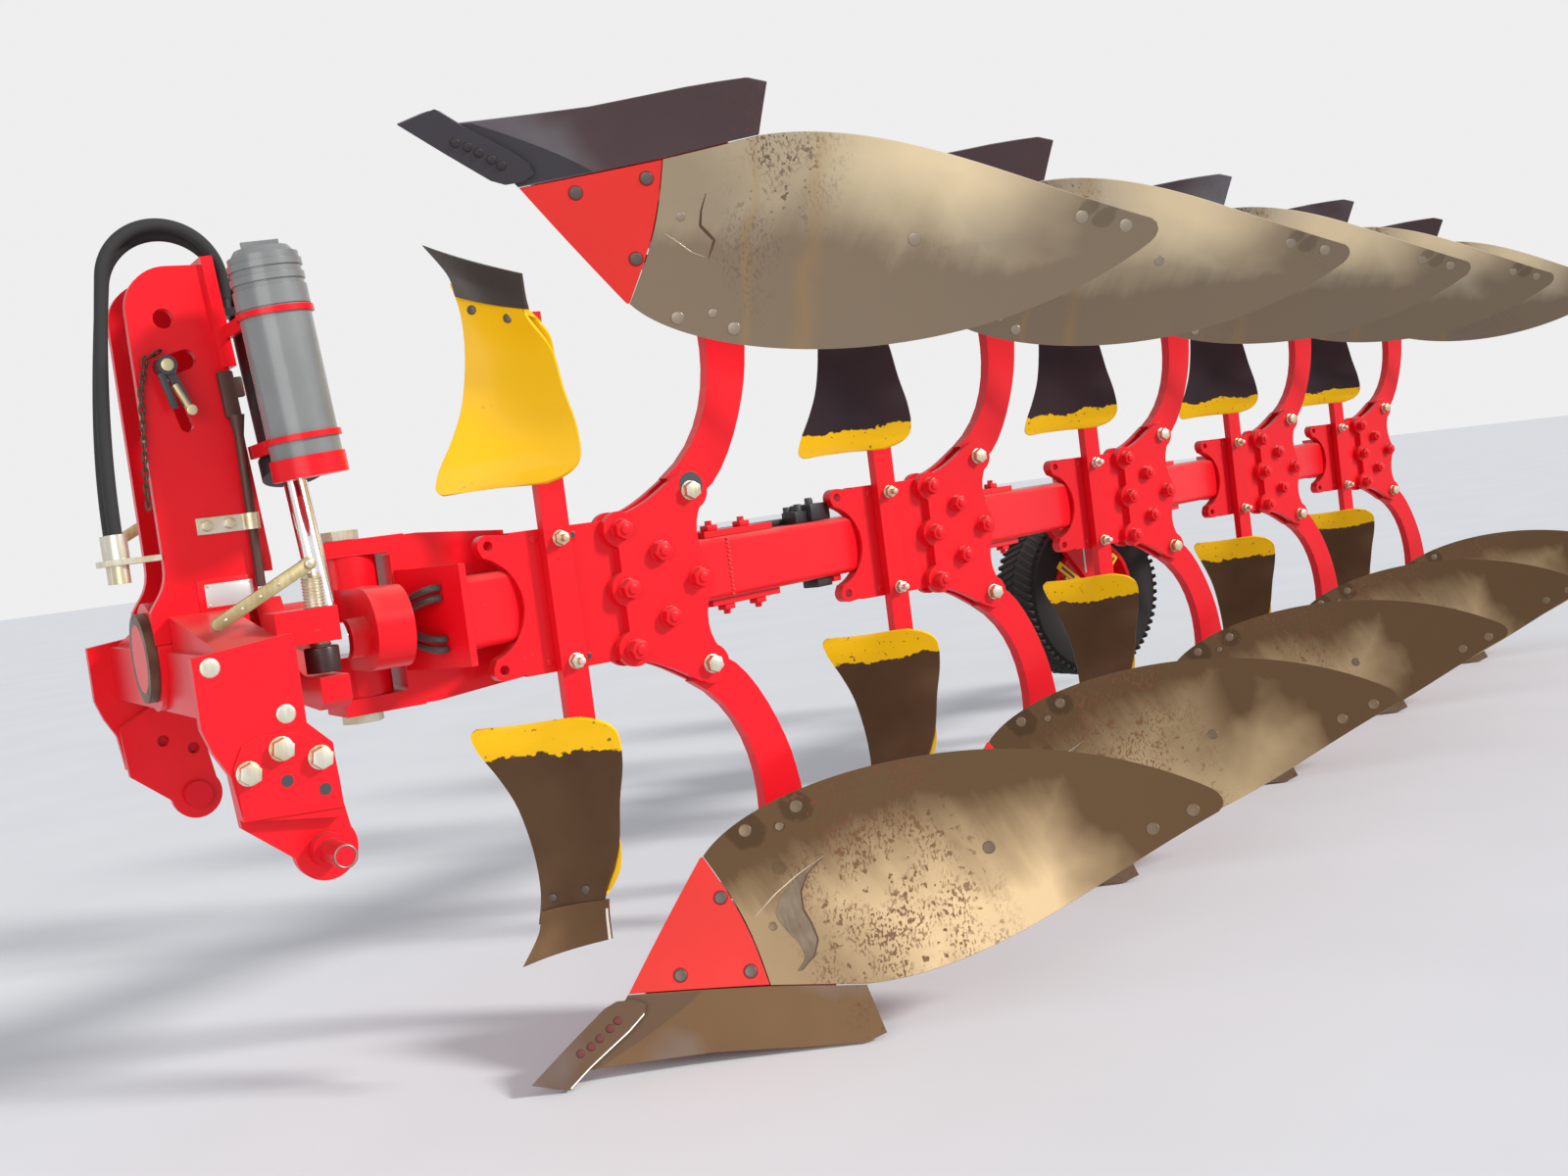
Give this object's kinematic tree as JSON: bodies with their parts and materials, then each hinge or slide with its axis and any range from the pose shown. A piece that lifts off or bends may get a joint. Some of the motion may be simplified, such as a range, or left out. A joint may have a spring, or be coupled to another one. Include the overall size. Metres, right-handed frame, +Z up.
{
  "type": "moldboard plough",
  "caption": "Mounted reversible mouldboard plough: slanted square beam with paired bodies above and below, skimmers, headstock with turnover cylinder, and a depth wheel.",
  "frame": {"origin": "middle of the whole plough's box, on the ground under the lower share points", "axes": "+X rearward, against the direction of travel; +Y towards the unploughed land on the working side; +Z up"},
  "size_m": [5.842, 2.6011, 1.756],
  "materials": {
    "red_paint": "bright red coat, glossy, with dust and chips",
    "yellow_paint": "yellow coat, worn through to steel where soil slides",
    "board_steel": "soil-polished steel with a brown film of rust",
    "worn_steel": "ground-worn steel, rust in the hollows",
    "dark_metal": "dark burnished steel",
    "black_paint": "satin black coat",
    "zinc": "zinc plate with a pale gold tint",
    "pin_steel": "red coat, worn bright where the hooks sit",
    "chrome_rod": "bright hard chrome",
    "dark_plastic": "dark grey moulded plastic, satin",
    "hose_rubber": "black rubber cover, smooth",
    "tyre": "black ribbed tyre with dried soil"
  },
  "bodies": {
    "headstock": {"tower": "red_paint", "hub_housing": "red_paint", "cross_box": "red_paint", "cheeks": "red_paint", "hitch_plates": "red_paint", "hitch_pins": "pin_steel", "top_pin": "dark_metal", "tool_tube": "dark_plastic", "tube_rings": "red_paint", "turn_barrel": "black_paint", "steady_bar": "dark_metal", "bar_clamps": "zinc", "stop_bracket": "red_paint", "tilt_spindles": "zinc", "hose_holder": "zinc", "hose_left": "hose_rubber", "hose_right": "hose_rubber"},
    "turn_rod": {"turn_rod": "chrome_rod"},
    "turn_frame": {"turn_shaft": "red_paint", "lock_nut": "dark_metal", "swing_pin": "zinc"},
    "plough_frame": {"fork": "red_paint", "beam": "red_paint", "beam_flange": "red_paint", "beam_clamps": "red_paint", "beam_hoses": "hose_rubber", "consoles": "red_paint", "legs": "red_paint", "landsides": "worn_steel", "shins": "red_paint", "boards": "board_steel", "shares": "worn_steel", "skimmer_stalks": "red_paint", "skimmer_boards": "yellow_paint", "skimmer_blades": "worn_steel", "wheel_bracket": "red_paint"},
    "wheel_arm": {"wheel_arm": "red_paint"},
    "depth_wheel": {"wheel_rim": "red_paint", "wheel_tyre": "tyre"}
  },
  "joints": [
    {"name": "turnover", "type": "hinge", "parent": "headstock", "child": "turn_frame", "pos_m": [-2.775, -0.559, 0.878], "axis": [1, 0, 0], "range_deg": [0, 180]},
    {"name": "turn_rod_slide", "type": "slide", "parent": "headstock", "child": "turn_rod", "axis": [0, -0.3061, -0.952], "range_m": [-0.04, 0.17]},
    {"name": "frame_swing", "type": "hinge", "parent": "turn_frame", "child": "plough_frame", "pos_m": [-2.515, -0.559, 0.878], "axis": [0, 0, 1], "range_deg": [-12, 0]},
    {"name": "wheel_swing", "type": "hinge", "parent": "plough_frame", "child": "wheel_arm", "pos_m": [0.158, 0.653, 0.878], "axis": [0, 1, 0], "range_deg": [-108, 0]},
    {"name": "wheel_spin", "type": "hinge", "parent": "wheel_arm", "child": "depth_wheel", "pos_m": [0.393, 0.791, 0.553], "axis": [0, 1, 0], "continuous": true}
  ]
}
